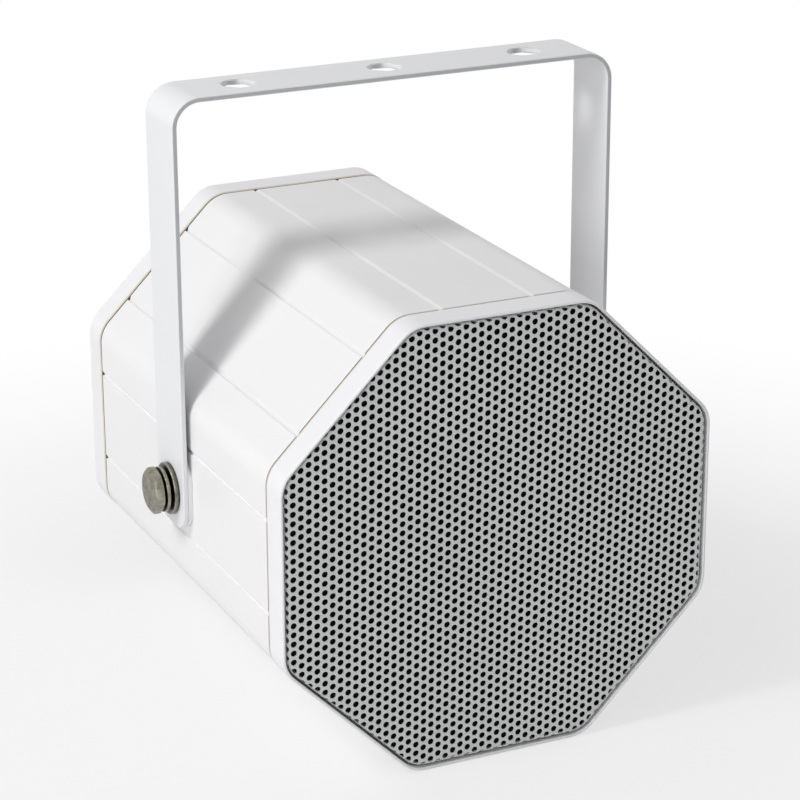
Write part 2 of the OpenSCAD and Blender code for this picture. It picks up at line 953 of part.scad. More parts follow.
module chassis_screws() {
    color("#b9bbbd")
    at_chassis_screws()
        translate([0, 0, clamp_t])
            pan_screw(chassis_screw_r, clamp_t + plate_t, chassis_head_r, chassis_head_h);
}

module at_poles() {
    for (i = [0:pole_count - 1])
        translate([(i - (pole_count - 1) / 2) * pole_pitch, block_shift, plate_top])
            children();
}

module terminal_block() {
    color("#2f6b4a")
    difference() {
        translate([-block_w / 2, block_shift - block_d / 2, plate_top])
            cube([block_w, block_d, block_h]);
        at_poles() {
            translate([0, 0, well_floor])
                cylinder(r = well_r, h = block_h, $fn = 32);
            translate([-entry_w / 2, -block_d / 2 - cut, entry_floor])
                cube([entry_w, cut + entry_depth, entry_h]);
        }
    }
}

module terminal_screws() {
    screw_r = well_r - play;
    color("#c9cbcd")
    at_poles()
        translate([0, 0, well_floor])
            difference() {
                cylinder(r = screw_r, h = pole_screw_h, $fn = 32);
                translate([-screw_r - cut, -pole_slot_w / 2, pole_screw_h - cut])
                    cube([2 * screw_r + 2 * cut, pole_slot_w, 2 * cut]);
            }
}

module gland_body() {
    color("#3c3e40")
    at_gland()
    difference() {
        union() {
            translate([0, 0, -thread_len])
                cylinder(r = gland_r, h = thread_len + weld, $fn = 48);
            cylinder(r = gland_flats / 2 / cos(30), h = gland_hex_h, $fn = 6);
            translate([0, 0, gland_hex_h - weld])
                cylinder(r = stem_r, h = stem_top - gland_hex_h + weld, $fn = 48);
        }
        translate([0, 0, -thread_len - cut])
            cylinder(r = seal_r - seal_lip, h = thread_len + stem_top + 2 * cut, $fn = 48);
        translate([0, 0, seal_start])
            cylinder(r = seal_r, h = stem_top, $fn = 48);
    }
}

module gland_nut() {
    color("#3c3e40")
    at_gland()
    translate([0, 0, gland_hex_h + fit])
        difference() {
            union() {
                cylinder(r = gland_flats / 2 / cos(30), h = gland_wall_h, $fn = 6);
                translate([0, 0, gland_wall_h - weld])
                    cylinder(r1 = gland_flats / 2 - fit, r2 = gland_dome_r,
                        h = gland_dome_h + weld, $fn = 64);
            }
            translate([0, 0, -cut])
                cylinder(r = stem_r + play, h = gland_wall_h + cut, $fn = 48);
            cylinder(r = seal_r - seal_lip, h = gland_nut_h + cut, $fn = 48);
        }
}

module gland_seal() {
    color("#1b1b1c")
    at_gland()
    translate([0, 0, seal_start])
        difference() {
            cylinder(r = seal_r - play / 2, h = stem_top - seal_start, $fn = 48);
            translate([0, 0, -cut])
                cylinder(r = cable_r, h = stem_top, $fn = 48);
        }
}

module gland_locknut() {
    color("#3c3e40")
    at_gland()
    translate([0, 0, -body_wall - locknut_t])
        difference() {
            cylinder(r = (gland_flats + locknut_over) / 2 / cos(30), h = locknut_t, $fn = 6);
            translate([0, 0, -cut])
                cylinder(r = gland_r + play / 2, h = locknut_t + 2 * cut, $fn = 48);
        }
}

body_shell();
end_ring(true);  // front_ring
end_ring(false);  // rear_ring
end_seal(true);  // front_seal
end_seal(false);  // rear_seal
baffle(true);  // front_baffle
baffle(false);  // rear_baffle
grille(true);  // front_grille
grille(false);  // rear_grille
grille_cloth(true);  // front_cloth
grille_cloth(false);  // rear_cloth
ring_screws(true);  // front_ring_screws
ring_screws(false);  // rear_ring_screws
basket(true);  // front_basket
basket(false);  // rear_basket
basket_screws(true);  // front_basket_screws
basket_screws(false);  // rear_basket_screws
surround(true);  // front_surround
surround(false);  // rear_surround
cone(true);  // front_cone
cone(false);  // rear_cone
dust_cap(true);  // front_dust_cap
dust_cap(false);  // rear_dust_cap
voice_coil(true);  // front_voice_coil
voice_coil(false);  // rear_voice_coil
spider(true);  // front_spider
spider(false);  // rear_spider
top_plate(true);  // front_top_plate
top_plate(false);  // rear_top_plate
magnet(true);  // front_magnet
magnet(false);  // rear_magnet
yoke(true);  // front_yoke
yoke(false);  // rear_yoke
bracket();
pivot_bolt(true);  // left_bolt
pivot_bolt(false);  // right_bolt
spring_washer(true);  // left_spring_washer
spring_washer(false);  // right_spring_washer
washer(true);  // left_washer
washer(false);  // right_washer
spacer(true);  // left_spacer
spacer(false);  // right_spacer
nut_plate(true);  // left_nut_plate
nut_plate(false);  // right_nut_plate
chassis_plate();
transformer_core();
transformer_winding();
transformer_clamp();
chassis_screws();
terminal_block();
terminal_screws();
gland_body();
gland_nut();
gland_seal();
gland_locknut();
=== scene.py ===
import json
import math

import bmesh
import bpy
from mathutils import Matrix, Vector
from mathutils.geometry import delaunay_2d_cdt


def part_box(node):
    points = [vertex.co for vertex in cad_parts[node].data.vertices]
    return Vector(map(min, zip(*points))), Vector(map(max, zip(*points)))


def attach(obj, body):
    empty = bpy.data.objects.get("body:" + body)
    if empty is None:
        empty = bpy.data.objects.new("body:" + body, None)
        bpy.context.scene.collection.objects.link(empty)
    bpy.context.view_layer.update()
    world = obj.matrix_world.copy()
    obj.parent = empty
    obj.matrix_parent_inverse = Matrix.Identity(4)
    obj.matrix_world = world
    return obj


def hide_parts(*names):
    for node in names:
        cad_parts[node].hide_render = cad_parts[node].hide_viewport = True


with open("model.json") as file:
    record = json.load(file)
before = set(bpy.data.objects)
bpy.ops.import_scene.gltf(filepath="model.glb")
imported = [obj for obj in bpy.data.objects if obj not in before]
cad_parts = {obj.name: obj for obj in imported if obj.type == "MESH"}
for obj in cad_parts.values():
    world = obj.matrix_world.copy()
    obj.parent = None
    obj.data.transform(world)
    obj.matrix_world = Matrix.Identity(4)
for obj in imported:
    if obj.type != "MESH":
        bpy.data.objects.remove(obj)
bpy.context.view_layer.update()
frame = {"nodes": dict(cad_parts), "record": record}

scene = bpy.context.scene
MM = 0.001
PI = math.pi
EIGHTH = PI / 4
SIGN = {"front": -1, "rear": 1, "left": -1, "right": 1}

# ---------------------------------------------------------------- sizes, mm
# Outlines are drawn about the driver axis, which is PIVOT above the ground.
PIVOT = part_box("front_ring")[1].z / MM / 2

# Body: half across flats, outer corner radius, wall, broken edge at the ends, half length.
HALF = 86.0
CORNER_R = 13.0
BODY_WALL = 3.0
BODY_EDGE = 0.25
HALF_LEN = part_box("body_shell")[1].y / MM

# Two grooves along each face: width, depth, distance between them.
GROOVE_W = 2.1
GROOVE_D = 0.85
GROOVE_SPAN = 36.0

# Gasket joint: gasket thickness, how far the painted body and rim stand back from it, and
# the gasket's inner outline.
SEAL_T = (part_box("rear_seal")[1].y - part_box("rear_seal")[0].y) / MM
SEAM_GAP = 0.45
GASKET_LIP = 0.6
GASKET_INNER = 80.0
GASKET_INNER_R = 7.0

# End rings: half across flats, ends along Y, wall at the mouth, wall at the body, rounding
# of the outer edge, round opening of the inner flange, baffle and flange thickness.
RING_HALF = PIVOT
RING_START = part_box("rear_ring")[0].y / MM
RING_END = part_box("rear_ring")[1].y / MM
RING_WALL = 1.1
RING_SKIRT = 2.4
RING_EDGE_R = 0.8
RING_OPEN_R = 76.0
BAFFLE_T = 3.0
FLANGE_T = 2.0

# Grille sheets: half width and face, gap to the mouth's corners, radius of the bend at the
# edge, space between the bent edge and the flange, thickness.
SHEET_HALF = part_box("front_grille")[1].x / MM
SHEET_FRONT = -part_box("front_grille")[0].y / MM
SHEET_GAP = 0.8
SHEET_BEND = 1.4
SHEET_LIFT = 1.5
SHEET_THICK = 0.45

# Holes of the grille: radius, spacing, one hole's place, and the steps to the next
# column and to the next hole in a column, as the photo shows them.
HOLE_R = 1.22
HOLE_SIDES = 14
PITCH = 3.5
LATTICE = (-0.339, 3.665)
COLUMN = (3.006, -0.037)
ROW = (0.040, 3.516)
COLUMNS = 32
ROWS = 48

# Bracket: a flat bar. Its top is STRAP_TOP above the pivot and its legs end LEG_END below.
STRAP_W = (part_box("bracket")[1].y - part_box("bracket")[0].y) / MM
STRAP_T = 2.0
STRAP_EDGE = 0.5
STRAP_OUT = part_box("bracket")[1].x / MM
STRAP_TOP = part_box("bracket")[1].z / MM - PIVOT
LEG_END = 14.0
LEG_CORNER = 8.0
BEND_R = 9.0
BEND_STEPS = 14
MOUNT_R = 6.25
MOUNT_PITCH = 58.5

# Pivot hardware. The bolt's head and the split washer's gap are turned as in the photo.
BOLT_R = 5.0
BOLT_HOLE_R = BOLT_R + 0.1
BOLT_FLATS = 15.9
BOLT_TURN = math.radians(13)
BOLT_FACE_R = BOLT_FLATS / 2 * 0.94
WASHER_IN = 5.2
WASHER_OUT = 10.0
SPLIT_IN = 5.3
SPLIT_OUT = 8.7
SPLIT_WIRE = 1.4
SPLIT_AT = math.radians(22)
SPLIT_GAP = 0.17
SPLIT_SLANT = 0.11


# ------------------------------------------------------------ mesh helpers
def new_object(name, verts, faces, smooth):
    """Mesh from points in mm. smooth is the angle above which an edge stays sharp."""
    mesh = bpy.data.meshes.new(name)
    mesh.from_pydata([(x * MM, y * MM, z * MM) for x, y, z in verts], [], faces)
    mesh.validate()
    obj = bpy.data.objects.new(name, mesh)
    scene.collection.objects.link(obj)
    work = bmesh.new()
    work.from_mesh(mesh)
    bmesh.ops.remove_doubles(work, verts=work.verts, dist=1e-7)
    bmesh.ops.recalc_face_normals(work, faces=work.faces)
    work.to_mesh(mesh)
    work.free()
    if smooth:
        shade(mesh, smooth)
        mod = obj.modifiers.new("normals", "WEIGHTED_NORMAL")
        mod.keep_sharp = True
        mod.weight = 80
    return obj


def shade(mesh, angle):
    mesh.polygons.foreach_set("use_smooth", [True] * len(mesh.polygons))
    mesh.set_sharp_from_angle(angle=math.radians(angle))


def corner_points(flats, r, k, seg):
    """Rounded corner after face k of an octagon."""
    reach = (flats - r) / math.cos(PI / 8)
    mid = EIGHTH * k + PI / 8
    turns = [EIGHTH * k + EIGHTH * i / seg for i in range(seg + 1)]
    return [(reach * math.cos(mid) + r * math.cos(a), reach * math.sin(mid) + r * math.sin(a))
            for a in turns]


def octagon(flats, r, seg=10):
    """Points of an octagon with rounded corners, from the middle of the +X face."""
    return [p for k in range(8) for p in corner_points(flats, r, k, seg)]


def circle(r, n, cx=0.0, cy=0.0, start=0.0):
    turns = [start + 2 * PI * i / n for i in range(n)]
    return [(cx + r * math.cos(a), cy + r * math.sin(a)) for a in turns]


def arc_points(cx, cy, r, a0, a1, steps):
    """Arc from a0 to a1 degrees, both ends included."""
    turns = [math.radians(a0 + (a1 - a0) * i / steps) for i in range(steps + 1)]
    return [(cx + r * math.cos(a), cy + r * math.sin(a)) for a in turns]


def quarter(steps):
    """Angles from 0 to 90 degrees, in radians."""
    return [PI / 2 * i / steps for i in range(steps + 1)]


def round_trip(first, n):
    """Edges round a loop of n points."""
    return [(first + i, first + (i + 1) % n) for i in range(n)]


def loft(loops, closed=True, caps=False):
    """Quads between loops of equally many 3-D points; closed joins last to first."""
    n = len(loops[0])
    verts = [p for loop in loops for p in loop]
    faces = []
    last = len(loops) if closed else len(loops) - 1
    for i in range(last):
        a = i * n
        b = (i + 1) % len(loops) * n
        for j in range(n):
            k = (j + 1) % n
            faces.append((a + j, a + k, b + k, b + j))
    if caps:
        faces.append(tuple(range(n)))
        faces.append(tuple((len(loops) - 1) * n + j for j in range(n)))
    return verts, faces


def at_end(pts, y, end):
    """Outline in the XZ plane at a distance from the middle, on the front or rear end."""
    return [(x, SIGN[end] * y, PIVOT + z) for x, z in pts]


def x_span(name):
    """Nearest and furthest distance of a CAD node from the middle, along the pivot axis."""
    low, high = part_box(name)
    return sorted((abs(low.x) / MM, abs(high.x) / MM))


def outward(loop, sign):
    """Normals at the points of an anticlockwise loop, longer where the loop turns."""
    n = len(loop)
    out = []
    for i in range(n):
        ax, ay = loop[i - 1]
        bx, by = loop[i]
        cx, cy = loop[(i + 1) % n]
        e1 = Vector((by - ay, ax - bx))
        e2 = Vector((cy - by, bx - cx))
        e1.normalize()
        e2.normalize()
        m = e1 + e2
        m = m / max(m.dot(e1), 0.3)
        out.append((sign * m.x, sign * m.y))
    return out


def inset(loop, normals, by):
    return [(p[0] - n[0] * by, p[1] - n[1] * by) for p, n in zip(loop, normals)]


def plate(outer, holes, thick, edge, lines, warp, steps):
    """Flat plate with round holes and rounded edges, warped into place.

    outer is anticlockwise, lines are extra edges between its points, and warp turns
    (along, across, depth) into a place. A second loop inside each edge keeps the
    shading of the flat faces even.
    """
    rims = [(outer, outward(outer, 1))] + [(h, outward(h, -1)) for h in holes]
    flat_pts, flat_edges, starts = [], [], []
    for loop, normals in rims:
        starts.append(len(flat_pts))
        flat_edges += round_trip(starts[-1], len(loop))
        flat_pts += inset(loop, normals, edge)
    flat_edges += lines
    for loop, normals in rims:
        flat_edges += round_trip(len(flat_pts), len(loop))
        flat_pts += inset(loop, normals, edge + 0.5)
    co, _, tris, orig, _, _ = delaunay_2d_cdt([Vector(p) for p in flat_pts], flat_edges,
                                              [], 1, 1e-7)
    index = {old: new for new, olds in enumerate(orig) for old in olds}

    rounds = []
    for h in holes:
        cx = sum(p[0] for p in h) / len(h)
        cy = sum(p[1] for p in h) / len(h)
        rounds.append((cx, cy, math.hypot(h[0][0] - cx, h[0][1] - cy)))

    def in_hole(tri):
        x = sum(co[i].x for i in tri) / 3
        y = sum(co[i].y for i in tri) / 3
        return any(math.hypot(x - cx, y - cy) < r for cx, cy, r in rounds)

    verts, faces = [], []

    def add(points, depth):
        first = len(verts)
        verts.extend(warp(u, v, depth) for u, v in points)
        return first

    keep = [t for t in tris if not in_hole(t)]
    top = add([(p.x, p.y) for p in co], 0.0)
    bottom = add([(p.x, p.y) for p in co], thick)
    faces += [tuple(top + i for i in t) for t in keep]
    faces += [tuple(bottom + i for i in reversed(t)) for t in keep]
    levels = [(edge * (1 - math.sin(a)), edge * (1 - math.cos(a)))
              for a in quarter(steps)[1:]]
    levels += [(by, thick - depth) for by, depth in reversed(levels)]
    for (loop, normals), start in zip(rims, starts):
        n = len(loop)
        rows = [[top + index[start + i] for i in range(n)]]
        for by, depth in levels:
            first = add(inset(loop, normals, by), depth)
            rows.append([first + i for i in range(n)])
        rows.append([bottom + index[start + i] for i in range(n)])
        for a, b in zip(rows, rows[1:]):
            for i in range(n):
                j = (i + 1) % n
                faces.append((a[i], a[j], b[j], b[i]))
    return verts, faces


# ---------------------------------------------------------- shader helpers
def node(tree, kind, **values):
    """New shader node; a value that isn't the name of an input sets a property."""
    made = tree.nodes.new(kind)
    for key, value in values.items():
        if key in made.inputs:
            made.inputs[key].default_value = value
        else:
            setattr(made, key, value)
    return made


def material(name):
    """New material with a Principled shader, and its object coordinates."""
    mat = bpy.data.materials.new(name)
    mat.use_nodes = True
    tree = mat.node_tree
    tree.nodes.clear()
    out = tree.nodes.new("ShaderNodeOutputMaterial")
    bsdf = tree.nodes.new("ShaderNodeBsdfPrincipled")
    tree.links.new(bsdf.outputs[0], out.inputs[0])
    coord = tree.nodes.new("ShaderNodeTexCoord")
    return mat, tree, bsdf, coord.outputs["Object"]


def noise(tree, vec, scale, detail=3.0, rough=0.5):
    made = node(tree, "ShaderNodeTexNoise", Scale=scale, Detail=detail, Roughness=rough)
    tree.links.new(vec, made.inputs["Vector"])
    return made.outputs[0]


def ramp(tree, fac, stops):
    made = tree.nodes.new("ShaderNodeValToRGB")
    for element, (position, colour) in zip(made.color_ramp.elements, stops):
        element.position = position
        element.color = (*colour, 1)
    tree.links.new(fac, made.inputs[0])
    return made.outputs[0]


def spread(tree, value, low, high, start=0.0, stop=1.0, kind="LINEAR"):
    """Maps start..stop of a value to low..high."""
    made = node(tree, "ShaderNodeMapRange", interpolation_type=kind)
    for key, number in (("From Min", start), ("From Max", stop),
                        ("To Min", low), ("To Max", high)):
        made.inputs[key].default_value = number
    tree.links.new(value, made.inputs["Value"])
    return made.outputs[0]


def combine(tree, operation, first, second):
    made = node(tree, "ShaderNodeMath", operation=operation)
    tree.links.new(first, made.inputs[0])
    tree.links.new(second, made.inputs[1])
    return made.outputs[0]


def parts_of(tree, vec):
    """X, Y and Z of a vector."""
    made = tree.nodes.new("ShaderNodeSeparateXYZ")
    tree.links.new(vec, made.inputs[0])
    return made.outputs


def bump(tree, bsdf, height, strength, distance):
    made = node(tree, "ShaderNodeBump", Strength=strength, Distance=distance)
    tree.links.new(height, made.inputs["Height"])
    tree.links.new(made.outputs[0], bsdf.inputs["Normal"])


def mix_shaders(tree, fac, first, second, out):
    made = tree.nodes.new("ShaderNodeMixShader")
    tree.links.new(fac, made.inputs[0])
    tree.links.new(first, made.inputs[1])
    tree.links.new(second, made.inputs[2])
    tree.links.new(made.outputs[0], out.inputs[0])


def shader_of(mat, kind):
    return [n for n in mat.node_tree.nodes if n.type == kind][0]


def mul(colour, f):
    return tuple(c * f for c in colour)


# ---------------------------------------------------------------- materials
def paint(name, colour, rough, grain=1400.0, depth=0.00003, soil=0.03):
    """Powder coat: a fine orange peel, slight soiling and uneven gloss."""
    mat, tree, bsdf, vec = material(name)
    broad = noise(tree, vec, 14.0, 4.0, 0.6)
    col = ramp(tree, broad, [(0.30, mul(colour, 1 - soil)), (0.62, colour)])
    tree.links.new(col, bsdf.inputs["Base Color"])
    tree.links.new(spread(tree, noise(tree, vec, 60.0), rough - 0.05, rough + 0.07),
                   bsdf.inputs["Roughness"])
    bump(tree, bsdf, noise(tree, vec, grain, 2.0, 0.4), 0.25, depth)
    bsdf.inputs["Specular IOR Level"].default_value = 0.4
    return mat


def metal(name, colour, rough, patina, amount):
    """Bare steel or copper: fine scratches, dull patches and a film in places."""
    mat, tree, bsdf, vec = material(name)
    broad = noise(tree, vec, 260.0, 6.0, 0.75)
    dull = tuple(c * (1 - amount) + c * p * amount for c, p in zip(colour, patina))
    col = ramp(tree, broad, [(0.40, dull), (0.58, colour)])
    tree.links.new(col, bsdf.inputs["Base Color"])
    bsdf.inputs["Metallic"].default_value = 1.0
    tree.links.new(spread(tree, noise(tree, vec, 500.0, 4.0), rough - 0.12, rough + 0.2),
                   bsdf.inputs["Roughness"])
    bump(tree, bsdf, noise(tree, vec, 1600.0, 3.0, 0.6), 0.3, 0.00004)
    return mat


def plastic(name, colour, rough, grain=2600.0, depth=0.00004, vary=0.06):
    """Moulded plastic, rubber or tape with a fine grain."""
    mat, tree, bsdf, vec = material(name)
    broad = noise(tree, vec, 40.0, 3.0, 0.6)
    col = ramp(tree, broad, [(0.3, mul(colour, 1 - vary)), (0.7, mul(colour, 1 + vary))])
    tree.links.new(col, bsdf.inputs["Base Color"])
    tree.links.new(spread(tree, noise(tree, vec, 120.0), rough - 0.08, rough + 0.08),
                   bsdf.inputs["Roughness"])
    bump(tree, bsdf, noise(tree, vec, grain, 2.0), 0.3, depth)
    return mat


def woven(name, colour, thread=900.0, rough=0.9, vary=0.5):
    """Plain weave from two crossed waves."""
    mat, tree, bsdf, vec = material(name)
    waves = []
    for direction in ("X", "Z"):
        wave = node(tree, "ShaderNodeTexWave", Scale=thread, bands_direction=direction)
        tree.links.new(vec, wave.inputs["Vector"])
        waves.append(wave.outputs[1])
    both = combine(tree, "MULTIPLY", *waves)
    col = ramp(tree, both, [(0.0, mul(colour, 1 - vary)), (1.0, mul(colour, 1 + vary))])
    tree.links.new(col, bsdf.inputs["Base Color"])
    bsdf.inputs["Roughness"].default_value = rough
    bsdf.inputs["Specular IOR Level"].default_value = 0.08
    bump(tree, bsdf, both, 0.5, 0.00015)
    return mat


def painted_crevice_shade(mat, reach, dark):
    """Painted shade where parts meet: the colour is darkened by ambient occlusion within a reach
    in metres.
    """
    tree = mat.node_tree
    base = shader_of(mat, "BSDF_PRINCIPLED").inputs["Base Color"]
    near = node(tree, "ShaderNodeAmbientOcclusion", Distance=reach)
    near.samples = 8
    shade_factor = ramp(tree, near.outputs["AO"], [(0.45, (dark, dark, dark)), (0.85, (1, 1, 1))])
    mix = node(tree, "ShaderNodeMix", data_type="RGBA", blend_type="MULTIPLY")
    mix.inputs[0].default_value = 1.0
    tree.links.new(base.links[0].from_socket, mix.inputs[6])
    tree.links.new(shade_factor, mix.inputs[7])
    tree.links.new(mix.outputs[2], base)
    return mat


def painted_edge_shade(mat, shade_grey):
    """Painted shade on the strap's edges that face along Y, above the body: their colour is
    mixed towards a darker grey.
    """
    tree = mat.node_tree
    base = shader_of(mat, "BSDF_PRINCIPLED").inputs["Base Color"]
    coord = tree.nodes.new("ShaderNodeTexCoord")
    facing = parts_of(tree, coord.outputs["Normal"])["Y"]
    size = node(tree, "ShaderNodeMath", operation="ABSOLUTE")
    tree.links.new(facing, size.inputs[0])
    edge = spread(tree, size.outputs[0], 0.0, 1.0, 0.9, 0.99)
    height = parts_of(tree, coord.outputs["Object"])["Z"]
    high = spread(tree, height, 0.0, 1.0, (PIVOT + 38) * MM, (PIVOT + 66) * MM)
    mix = node(tree, "ShaderNodeMix", data_type="RGBA")
    mix.inputs[7].default_value = (*shade_grey, 1)
    tree.links.new(combine(tree, "MULTIPLY", edge, high), mix.inputs[0])
    tree.links.new(base.links[0].from_socket, mix.inputs[6])
    tree.links.new(mix.outputs[2], base)
    return mat


MATS = {
    "painted_body": paint("body_paint", (0.86, 0.855, 0.862), 0.42, soil=0.02),
    "painted_ring": paint("ring_white", (0.86, 0.855, 0.872), 0.36, soil=0.02),
    # Painted shade: ambient occlusion darkens the gasket's colour deep in the recess of the
    # joint.
    "gasket": painted_crevice_shade(plastic("aged_gasket", (0.66, 0.60, 0.49), 0.7, 1800.0, 0.00006, 0.12),
                    0.002, 0.12),
    "black_board": plastic("black_board", (0.02, 0.02, 0.021), 0.7),
    "grille_sheet": paint("grille_coat", (0.71, 0.725, 0.72), 0.45, 1800.0, soil=0.06),
    "cloth": woven("black_cloth", (0.006, 0.006, 0.006)),
    "zinc_screw": metal("zinc_screw", (0.62, 0.62, 0.60), 0.35, (0.8, 0.78, 0.7), 0.3),
    "black_steel": paint("black_paint", (0.025, 0.025, 0.027), 0.5, soil=0.2),
    "foam": plastic("surround_rubber", (0.018, 0.018, 0.019), 0.8),
    "paper": woven("black_pulp", (0.022, 0.022, 0.024), 500.0, 0.95, 0.3),
    "coil": metal("copper_wire", (0.70, 0.36, 0.18), 0.3, (0.7, 0.6, 0.5), 0.4),
    "spider_cloth": woven("varnished_cloth", (0.42, 0.27, 0.09), 700.0, 0.7, 0.25),
    "zinc_plate": metal("zinc_plate", (0.58, 0.59, 0.60), 0.4, (0.85, 0.83, 0.78), 0.4),
    "ferrite": plastic("ferrite", (0.035, 0.035, 0.037), 0.6, 1200.0, 0.0001, 0.2),
    # Painted shade: the strap's edges facing along Y are greyed above the body.
    "painted_bracket": painted_edge_shade(
        paint("bracket_paint", (0.805, 0.81, 0.83), 0.34, soil=0.025), (0.52, 0.53, 0.55)),
    # Painted shade: ambient occlusion darkens the steel's colour in the gaps between bolt head,
    # washers and bracket.
    "stainless": painted_crevice_shade(
        metal("bolt_steel", (0.37, 0.355, 0.30), 0.27, (0.42, 0.41, 0.30), 0.75), 0.004, 0.06),
    "white_nylon": plastic("white_nylon", (0.84, 0.84, 0.84), 0.45, vary=0.02),
    "laminations": metal("core_sheets", (0.16, 0.15, 0.15), 0.55, (0.6, 0.5, 0.45), 0.5),
    "winding": plastic("winding_tape", (0.42, 0.28, 0.05), 0.4, 900.0, 0.0001, 0.12),
    "terminal": plastic("terminal_green", (0.03, 0.16, 0.07), 0.45),
    "gland": plastic("gland_nylon", (0.045, 0.046, 0.05), 0.5),
    "gland_rubber": plastic("gland_rubber", (0.015, 0.015, 0.015), 0.85),
}


def wear(obj, slot):
    obj.data.materials.clear()
    obj.data.materials.append(MATS[slot])


slot_of = {row["node"]: row["material_slot"] for row in frame["record"]["subparts"]}
for name, obj in frame["nodes"].items():
    wear(obj, slot_of[name])


def finish_piece(obj, slot, cad, body="speaker"):
    """Gives a piece its material, the CAD node that it stands for and its body."""
    wear(obj, slot)
    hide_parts(cad)
    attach(obj, body)


# ------------------------------------------------------------ body and ends
def body_outline():
    """Octagon with rounded corners and two grooves along each face.

    One wall of a groove slopes and the other is steep, so that it reads as a line
    from the front and stays closed to the lamp.
    """
    w, d = GROOVE_W / 2, GROOVE_D
    section = [(-w - 0.08, 0), (-w + 0.04, -0.05), (0.25 * w, -d + 0.03), (0.35 * w, -d),
               (0.78 * w, -d), (0.84 * w, -d + 0.1), (0.9 * w, -0.09), (w, 0)]
    pts = []
    for k in range(8):
        a = EIGHTH * k
        n = (math.cos(a), math.sin(a))
        t = (-n[1], n[0])
        for side in (-1, 1):
            for s, h in section:
                along = side * GROOVE_SPAN / 2 + s
                out = HALF + h
                pts.append((n[0] * out + t[0] * along, n[1] * out + t[1] * along))
        pts += corner_points(HALF, CORNER_R, k, 10)
    return pts


def shrink(pts, by):
    """Moves an outline about the origin inwards by nearly the same distance everywhere."""
    out = []
    for x, y in pts:
        r = math.hypot(x, y)
        out.append((x * (r - by) / r, y * (r - by) / r))
    return out


def body_skin():
    """Extruded body with broken ends."""
    outer = body_outline()
    end = HALF_LEN - SEAM_GAP
    loops = []
    for y, by in ((-end, BODY_EDGE), (-end + 0.08, 0.1), (-end + BODY_EDGE, 0),
                  (end - BODY_EDGE, 0), (end - 0.08, 0.1), (end, BODY_EDGE),
                  (end, BODY_WALL), (-end, BODY_WALL)):
        loops.append([(x, y, PIVOT + z) for x, z in shrink(outer, by)])
    finish_piece(new_object("body_skin", *loft(loops), 24), "painted_body", "body_shell")


def ring_piece(end):
    """End ring: thin mouth with rounded edges, an inner flange with a round opening."""
    corner = CORNER_R + RING_HALF - HALF
    start = RING_START + GASKET_LIP
    flange_start = RING_START + BAFFLE_T
    flange_end = flange_start + FLANGE_T
    profile = [(start, 0.25), (start + 0.06, 0.1), (start + 0.25, 0)]
    profile += [(RING_END - RING_EDGE_R + RING_EDGE_R * math.sin(a),
                 RING_EDGE_R * (1 - math.cos(a))) for a in quarter(6)[:-1]]
    profile += [(RING_END, RING_WALL - 0.3), (RING_END - 0.09, RING_WALL - 0.09),
                (RING_END - 0.3, RING_WALL), (flange_end, RING_WALL)]

    def outline(by):
        return octagon(RING_HALF - by, corner - by)

    opening = [(RING_OPEN_R * x / math.hypot(x, z), RING_OPEN_R * z / math.hypot(x, z))
               for x, z in octagon(RING_HALF, corner)]
    loops = [at_end(outline(by), y, end) for y, by in profile]
    loops += [at_end(opening, flange_end, end), at_end(opening, flange_start, end)]
    loops += [at_end(outline(RING_SKIRT), y, end) for y in (flange_start, start)]
    finish_piece(new_object(end + "_rim", *loft(loops), 35), "painted_ring", end + "_ring")


def gasket_piece(end):
    """Gasket in the joint: a dark recess beside the body and a lip beside the ring."""
    inner_y = HALF_LEN - SEAM_GAP
    outer_y = RING_START + GASKET_LIP
    loops = []
    for y, flats in ((inner_y, HALF - 1.9), (HALF_LEN + SEAL_T * 0.3, HALF - 1.7),
                     (HALF_LEN + SEAL_T * 0.45, HALF - 0.1), (HALF_LEN + SEAL_T, HALF + 0.05),
                     (outer_y, HALF + 0.05)):
        loops.append(at_end(octagon(flats, CORNER_R - HALF + flats), y, end))
    for y in (outer_y, inner_y):
        loops.append(at_end(octagon(GASKET_INNER, GASKET_INNER_R), y, end))
    finish_piece(new_object(end + "_gasket", *loft(loops), 50), "gasket", end + "_seal")


# ------------------------------------------------------------------ grilles
def hole_places(limit):
    """Middles of the holes that lie whole inside an octagon, limit across half its flats."""
    holes = []
    for col in range(-COLUMNS, COLUMNS + 1):
        for row in range(-ROWS, ROWS + 1):
            step = row + 0.5 * (col % 2)
            x = LATTICE[0] + col * COLUMN[0] + step * ROW[0]
            z = LATTICE[1] + col * COLUMN[1] + step * ROW[1]
            reach = max(abs(x), abs(z), (abs(x) + abs(z)) / math.sqrt(2))
            if reach <= limit - HOLE_R:
                holes.append((x, z))
    return holes


def outside_holes(co, tris, holes):
    """Triangles whose middle is in no hole."""
    grid = {}
    for x, z in holes:
        grid.setdefault((round(x / PITCH), round(z / PITCH)), []).append((x, z))
    cut = (HOLE_R * math.cos(PI / HOLE_SIDES)) ** 2
    keep = []
    for tri in tris:
        cx = sum(co[i].x for i in tri) / 3
        cz = sum(co[i].y for i in tri) / 3
        gx, gz = round(cx / PITCH), round(cz / PITCH)
        near = [h for ix in (-1, 0, 1) for iz in (-1, 0, 1)
                for h in grid.get((gx + ix, gz + iz), ())]
        if not any((hx - cx) ** 2 + (hz - cz) ** 2 < cut for hx, hz in near):
            keep.append(tuple(tri))
    return keep


